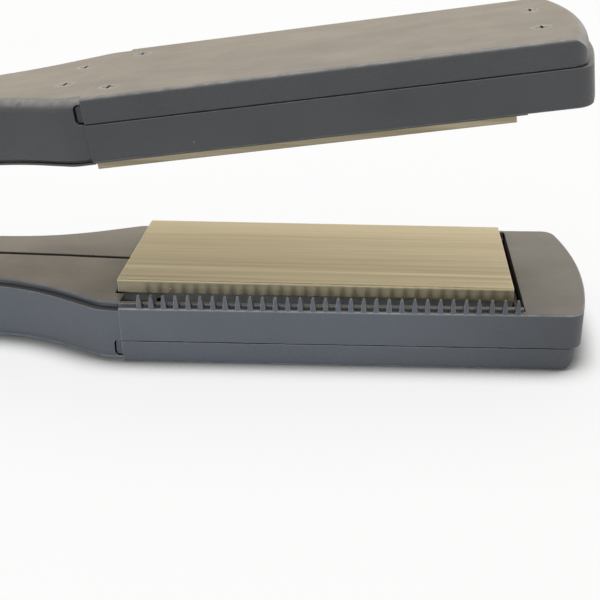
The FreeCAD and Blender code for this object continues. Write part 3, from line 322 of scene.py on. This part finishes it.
def moulded_plastic(name, colour, grain, grain_depth, roughness, dust_and_sheen):
    """Matt moulded plastic: spark-eroded grain, faint clouds, painted shade in hollows, rubbed edges with a
    painted highlight, lint, and dust with a painted warm sheen on level faces.
    """
    finish = Finish(name)
    normal, edges = finish.soft_edges(PLASTIC_EDGE)
    fine = finish.noise(grain, 2.0, 0.6)
    lying = finish.lying()
    clouds = finish.spread(finish.noise(38.0, 4.0, 0.6), 0.3, 0.7)
    finish.ground(clouds, shade(colour, 0.93), shade(colour, 1.06))
    finish.layer(finish.spread(fine, 0.35, 0.65), shade(colour, 1.4), 0.45)
    # Painted shade: darker and bluer in gaps and corners
    finish.layer(finish.hollows(SHADED_HOLLOW_REACH), shade(colour, (0.18, 0.2, 0.36)), 0.62)

    # Rubbed edges and sloping faces lightened: partly wear, partly a painted highlight
    rounded = finish.work("MULTIPLY", finish.spread(lying, 0.25, 0.6), finish.spread(lying, 0.97, 0.85))
    rubbed_and_highlit = finish.work("MAXIMUM", edges, finish.work("MULTIPLY", rounded, 0.7))
    uneven = finish.spread(finish.noise(420.0, 3.0), 0.35, 0.6, 0.35, 0.7)
    finish.layer(finish.work("MULTIPLY", rubbed_and_highlit, uneven), tuple(0.3 + 1.5 * part for part in colour))
    finish.layer(finish.specks(130.0, 0.028, 60.0, 0.56), LINT, 0.6)

    smudges = finish.noise(55.0, 3.0, 0.65, (1.0, 1.6, 1.0))
    # Dust and a painted warm sheen on level faces, either way up, left out of grooves where shade falls
    clear = finish.work("SUBTRACT", 1.0, finish.hollows(SHADED_GROOVE_REACH, 0.8, 0.5))
    return finish.done(
        Roughness=finish.spread(smudges, 0.35, 0.7, roughness - 0.07, roughness + 0.1),
        Normal=finish.bump(fine, grain_depth, normal),
        Sheen_Weight=finish.work("MULTIPLY", finish.spread(lying, 0.85, 0.97, 0.0, dust_and_sheen), clear),
        Sheen_Tint=DUST_AND_SHEEN_TINT,
        IOR=1.6)


def brushed_coating(name):
    """Champagne coating on an aluminium plate: brushed on top, worn in streaks near the comb, bare below,
    with a painted highlight on its edges and painted shade on its upright sides.
    """
    finish = Finish(name)
    normal, edges = finish.soft_edges(COATING_EDGE)
    fine = finish.brushing(26.0, 3400.0, roughness=0.7)
    lines = finish.brushing(9.0, 900.0, roughness=0.65)
    broad = finish.brushing(6.0, 320.0)
    wide = finish.brushing(3.0, 70.0, 2.0, 0.5)
    finish.ground(finish.spread(broad, 0.36, 0.64), shade(CHAMPAGNE, (0.8, 0.78, 0.74)), CHAMPAGNE)
    finish.layer(finish.spread(wide, 0.38, 0.62), shade(CHAMPAGNE, (1.08, 1.1, 1.13)), 0.75)
    finish.layer(finish.spread(lines, 0.5, 0.66), shade(CHAMPAGNE, 0.72), 0.5)
    finish.layer(finish.spread(lines, 0.42, 0.3), shade(CHAMPAGNE, 1.2), 0.4)
    finish.layer(finish.spread(fine, 0.35, 0.65), shade(CHAMPAGNE, 0.74), 0.3)
    # Painted highlight along the plate's rounded edges
    finish.layer(edges, PAINTED_COATING_HIGHLIGHT, 0.9)

    across = finish.nodes.new("ShaderNodeSeparateXYZ")
    finish.feed(across.inputs[0], finish.place)
    used = finish.spread(across.outputs["Y"], WORN_FROM, WORN_TO, 0.0, 0.6)
    streaks = finish.brushing(4.0, 420.0)
    dull = finish.spread(streaks, 0.52, 0.66)
    polished = finish.spread(streaks, 0.48, 0.36)
    finish.layer(finish.work("MULTIPLY", used, dull), shade(CHAMPAGNE, 0.6))
    finish.layer(finish.work("MULTIPLY", used, polished), shade(CHAMPAGNE, (1.3, 1.32, 1.38)))
    finish.layer(finish.specks(95.0, 0.03, 45.0, 0.54), PALE_SPECK, 0.8)

    depth = finish.work("MAXIMUM", *(finish.depth_under(HINGE_LINE, face) for face in PLATE_NORMALS))
    finish.layer(finish.spread(depth, *COATED_DEPTH), BARE_ALUMINIUM)
    # Painted shade: the plate's upright sides a little darker
    finish.layer(finish.spread(finish.lying(), 0.3, 0.05), NEAR_BLACK, 0.13)
    rough = finish.spread(finish.work("ADD", fine, broad), 0.7, 1.3, 0.36, 0.5)
    return finish.done(
        Roughness=finish.work("ADD", rough, finish.work("MULTIPLY", edges, 0.22)),
        Normal=finish.bump(fine, 0.000016, normal),
        Metallic=0.65)


def drawn_steel(name, colour, roughness):
    """Bright or zinc-coated steel with faint drawing marks."""
    finish = Finish(name)
    normal, edges = finish.soft_edges(STEEL_EDGE)
    marks = finish.noise(1800.0, 3.0, 0.6)
    finish.ground(finish.spread(marks, 0.3, 0.7), shade(colour, 0.8), colour)
    finish.layer(edges, BRIGHT_STEEL, 0.4)
    return finish.done(
        Roughness=finish.spread(finish.noise(300.0), 0.3, 0.7, roughness - 0.06, roughness + 0.1),
        Normal=finish.bump(marks, 0.000008, normal),
        Metallic=1.0)


def fired_ceramic(name):
    """White alumina with a chalky surface and small pits."""
    finish = Finish(name)
    pits = finish.noise(1500.0, 4.0, 0.7)
    finish.ground(finish.spread(pits, 0.35, 0.6), (0.7, 0.69, 0.65), (0.84, 0.83, 0.8))
    return finish.done(
        Roughness=finish.spread(pits, 0.3, 0.7, 0.75, 0.6),
        Normal=finish.bump(pits, 0.00003))


def split_mica(name):
    """Amber mica or glass, layered and flecked."""
    finish = Finish(name)
    flakes = finish.cells(420.0)
    finish.ground(finish.spread(flakes, 0.1, 0.6), (0.5, 0.36, 0.17), (0.74, 0.6, 0.36))
    return finish.done(
        Roughness=finish.spread(flakes, 0.0, 0.7, 0.18, 0.4),
        Normal=finish.bump(flakes, 0.00002))


def woven_sleeve(name):
    """Glass-fibre sleeving with a fine braid."""
    finish = Finish(name)
    braid = finish.cells(2400.0)
    finish.ground(finish.spread(braid, 0.1, 0.7), (0.52, 0.5, 0.45), (0.8, 0.78, 0.73))
    return finish.done(
        Roughness=finish.spread(braid, 0.0, 0.7, 0.9, 0.7),
        Normal=finish.bump(braid, 0.00008))


def solder_mask(name):
    """Green circuit board with faint tracks under the mask."""
    finish = Finish(name)
    tracks = finish.nodes.new("ShaderNodeTexBrick")
    finish.feed(tracks.inputs["Vector"], finish.place)
    finish.feed(tracks.inputs["Scale"], 260.0)
    finish.feed(tracks.inputs["Mortar Size"], 0.06)
    finish.ground(tracks.outputs["Fac"], (0.02, 0.12, 0.05), (0.05, 0.2, 0.09))
    return finish.done(
        Roughness=finish.spread(finish.noise(200.0), 0.3, 0.7, 0.25, 0.4),
        Normal=finish.bump(tracks.outputs["Fac"], 0.00003))


def tinted_lens(name):
    """Red-orange light pipe, slightly cloudy."""
    finish = Finish(name)
    clouds = finish.spread(finish.noise(900.0, 3.0), 0.3, 0.7)
    finish.ground(clouds, (0.7, 0.06, 0.015), (0.85, 0.14, 0.04))
    return finish.done(
        Roughness=finish.spread(clouds, 0.0, 1.0, 0.1, 0.22),
        Transmission_Weight=0.5,
        Coat_Weight=0.4)


def soft_rubber(name):
    """Matt black rubber with a bloom on it."""
    finish = Finish(name)
    normal, edges = finish.soft_edges(RUBBER_EDGE)
    bloom = finish.noise(260.0, 4.0, 0.65)
    finish.ground(finish.spread(bloom, 0.35, 0.7), (0.022, 0.022, 0.024), (0.05, 0.05, 0.052))
    finish.layer(edges, (0.12, 0.12, 0.12), 0.3)
    return finish.done(
        Roughness=finish.spread(bloom, 0.3, 0.7, 0.62, 0.82),
        Normal=finish.bump(bloom, 0.00003, normal))


def print_ink(name):
    """Pad-printed ink, a little thin in places."""
    finish = Finish(name)
    thin = finish.noise(1400.0, 3.0, 0.6)
    finish.ground(finish.spread(thin, 0.3, 0.55), (0.5, 0.5, 0.49), PRINT_WHITE)
    return finish.done(Roughness=finish.spread(thin, 0.3, 0.7, 0.55, 0.42))


# Finishes that need no more than their name
PLAIN_FINISHES = {
    "plate_coating": brushed_coating,
    "heater_ceramic": fired_ceramic,
    "mica": split_mica,
    "sensor_glass": split_mica,
    "lead_sleeve": woven_sleeve,
    "board": solder_mask,
    "lens": tinted_lens,
    "collar_rubber": soft_rubber,
    "print_ink": print_ink,
}


def make_finishes():
    """Every finish under the name of its slot."""
    finishes = {row[0]: moulded_plastic(*row) for row in PLASTICS}
    finishes.update({row[0]: drawn_steel(*row) for row in STEELS})
    finishes.update({name: make(name) for name, make in PLAIN_FINISHES.items()})
    return finishes


FINISHES = make_finishes()


def dress_nodes():
    """Gives every node of the CAD model the finish of its slot."""
    for part in frame["record"]["subparts"]:
        node = frame["nodes"][part["node"]]
        node.data.materials.clear()
        node.data.materials.append(FINISHES[part["material_slot"]])


def add_spring(name, body):
    """Copy of the CAD spring's coil in its place, carried by the given body, with the CAD spring hidden."""
    node = frame["nodes"][name]
    coil = bpy.data.objects.new(f"{name}_coil", node.data.copy())
    bpy.context.scene.collection.objects.link(coil)
    coil.matrix_world = node.matrix_world
    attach(coil, body)
    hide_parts(name)
    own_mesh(coil)


def add_springs():
    """The opening spring, which stands upright on the lower arm, and the springs under both plates."""
    for joint, travel in SPRING_TRAVEL.items():
        for spring in joints[joint]["deforming_nodes"]:
            add_spring(spring["node"], joints[joint]["parent"])


def printed_mesh(name, corners, faces):
    """Printed mark from corner places and faces."""
    mesh = bpy.data.meshes.new(name)
    mesh.from_pydata(corners, [], faces)
    mesh.materials.append(FINISHES["print_ink"])
    printed = bpy.data.objects.new(name, mesh)
    bpy.context.scene.collection.objects.link(printed)
    return printed


def printed_ring(name, outer, inner, centre, turn_y=0.0):
    """Printed dot or ring, lying flat or turned about Y."""
    turn = Matrix.Rotation(turn_y, 3, "Y")
    corners = []
    for radius in (outer, inner):
        for number in range(RING_SIDES):
            angle = 2 * math.pi * number / RING_SIDES
            spoke = Vector((math.cos(angle), math.sin(angle), 0))
            corners.append(Vector(centre) + turn @ (radius * spoke))
    faces = []
    for number in range(RING_SIDES):
        following = (number + 1) % RING_SIDES
        faces.append((number, following, RING_SIDES + following, RING_SIDES + number))
    return printed_mesh(name, corners, faces)


def printed_bar(name, length, width, centre, turn_y):
    """Printed stroke, turned about Y."""
    turn = Matrix.Rotation(turn_y, 3, "Y")
    signs = ((-1, -1), (1, -1), (1, 1), (-1, 1))
    corners = [Vector(centre) + turn @ Vector((x * length / 2, y * width / 2, 0)) for x, y in signs]
    return printed_mesh(name, corners, [(0, 1, 2, 3)])


def print_scale():
    """Dots round the dial that grow along its turn."""
    turn = joints["temperature_dial_turn"]
    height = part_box("control_panel")[1].z + PRINT_LIFT
    for number in range(SCALE_DOTS):
        share = number / (SCALE_DOTS - 1)
        angle = math.radians(SCALE_START + turn["range_deg"][1] * share)
        axis_x = turn["pos_m"][0]
        centre = (axis_x + SCALE_RADIUS * math.cos(angle), SCALE_RADIUS * math.sin(angle), height)
        radius = SMALLEST_DOT + (LARGEST_DOT - SMALLEST_DOT) * share
        dot = printed_ring(f"scale_dot_{number + 1}", radius, DOT_MIDDLE, centre)
        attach(dot, "lower_arm")


def print_rocker():
    """Stroke for on and ring for off on the rocker, which rests half way through its tilt."""
    tilt = joints["power_rocker_tilt"]
    rest = math.radians(tilt["range_deg"][1] / 2)
    slope = math.radians(ROCKER_SLOPE)
    for name, side in (("stroke_on", -1), ("stroke_off", 1)):
        local = Vector((side * MARK_REACH, 0, ROCKER_RIDGE + MARK_REACH * math.tan(slope) + PRINT_LIFT))
        centre = Vector(tilt["pos_m"]) + Matrix.Rotation(rest, 3, "Y") @ local
        if side < 0:
            mark = printed_bar(name, *STROKE_SIZE, centre, rest + slope)
        else:
            mark = printed_ring(name, *RING_RADII, centre, rest - slope)
        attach(mark, "power_rocker")


def add_camera():
    """Camera where the photographer's was."""
    yaw, pitch, roll = (math.radians(angle) for angle in (CAMERA_YAW, CAMERA_PITCH, CAMERA_ROLL))
    level = Vector((math.sin(yaw), math.cos(yaw), 0))
    right = Vector((math.cos(yaw), -math.sin(yaw), 0))
    ahead = level * math.cos(pitch) + Vector((0, 0, -math.sin(pitch)))
    down = ahead.cross(right)
    right, down = (right * math.cos(roll) + down * math.sin(roll),
                   down * math.cos(roll) - right * math.sin(roll))
    data = bpy.data.cameras.new("camera")
    data.lens = CAMERA_LENS
    data.sensor_width = SENSOR_WIDTH
    data.clip_start = CLIP_START
    camera = bpy.data.objects.new("camera", data)
    bpy.context.scene.collection.objects.link(camera)
    camera.matrix_world = Matrix.LocRotScale(
        Vector(CAMERA_PLACE), Matrix((right, -down, -ahead)).transposed(), None)
    bpy.context.scene.camera = camera


def add_lamps():
    """Large soft lamps round the object, and a low strip in front that lights the lower arm's side."""
    for name, place, aim, width, height, spread, power, colour, mirrored in LAMPS:
        data = bpy.data.lights.new(name, "AREA")
        data.shape = "RECTANGLE"
        data.size = width
        data.size_y = height
        data.spread = math.radians(spread)
        data.energy = power
        data.color = colour
        lamp = bpy.data.objects.new(name, data)
        lamp.visible_camera = False
        lamp.visible_glossy = mirrored
        bpy.context.scene.collection.objects.link(lamp)
        lamp.location = place
        lamp.rotation_euler = (Vector(aim) - Vector(place)).to_track_quat("-Z", "Y").to_euler()


def add_world():
    """Light tent: white to the camera, warm where it is mirrored, and as light brightest from behind."""
    world = bpy.data.worlds.new("tent")
    bpy.context.scene.world = world
    world.use_nodes = True
    tent = Wiring(world.node_tree)
    direction = tent.nodes.new("ShaderNodeTexCoord").outputs["Generated"]
    path = tent.nodes.new("ShaderNodeLightPath").outputs

    def tones(axis, low, high, away, towards):
        along = tent.vector_work("DOT_PRODUCT", direction, axis)
        return tent.mix(tent.spread(along, low, high, curve="SMOOTHSTEP"), away, towards)

    light = tent.mix(path["Is Glossy Ray"], tones(*TENT), tones(*TENT_MIRRORED))
    seen = tent.work("MAXIMUM", path["Is Camera Ray"], path["Is Transmission Ray"])
    tent.feed(tent.nodes["Background"].inputs["Color"], tent.mix(seen, light, WHITE))


def add_floor():
    """Plain floor that shows white to the camera, with a faint shadow."""
    floor = Finish("floor")
    path = floor.nodes.new("ShaderNodeLightPath").outputs
    seen = floor.work("MAXIMUM", path["Is Camera Ray"], path["Is Glossy Ray"])
    seen = floor.work("MAXIMUM", seen, path["Is Transmission Ray"])
    contact = floor.hollows(CONTACT_REACH, 0.97, 0.5)
    shown_tone = floor.mix(floor.work("MULTIPLY", contact, 0.8), FLOOR_SHOWN, CONTACT_TONE)
    tone = floor.mix(seen, FLOOR_TONE, shown_tone)
    clouds = floor.spread(floor.noise(6.0, 3.0), 0.3, 0.7)
    floor.ground(clouds, floor.mix(0.03, tone, (0.0, 0.0, 0.0)), tone)
    floor.done(Roughness=0.9, Specular_IOR_Level=0.0)

    glow = floor.nodes.new("ShaderNodeEmission")
    shown = floor.nodes.new("ShaderNodeMixShader")
    clear = floor.work("SUBTRACT", 1.0, floor.work("MULTIPLY", contact, 0.9))
    glowing = floor.work("MULTIPLY", clear, FLOOR_GLOW)
    floor.feed(shown.inputs["Fac"], floor.work("MULTIPLY", seen, glowing))
    floor.feed(shown.inputs[1], floor.shader.outputs[0])
    floor.feed(shown.inputs[2], glow.outputs[0])
    floor.feed(floor.nodes["Material Output"].inputs["Surface"], shown.outputs[0])

    bpy.ops.mesh.primitive_plane_add(size=FLOOR_SIZE, location=(0, 0, 0))
    plane = bpy.context.object
    plane.name = "floor"
    plane.data.materials.append(floor.material)


dress_nodes()
add_springs()
print_scale()
print_rocker()
add_world()
add_lamps()
add_floor()
add_camera()

bpy.context.scene.view_settings.view_transform = "Standard"
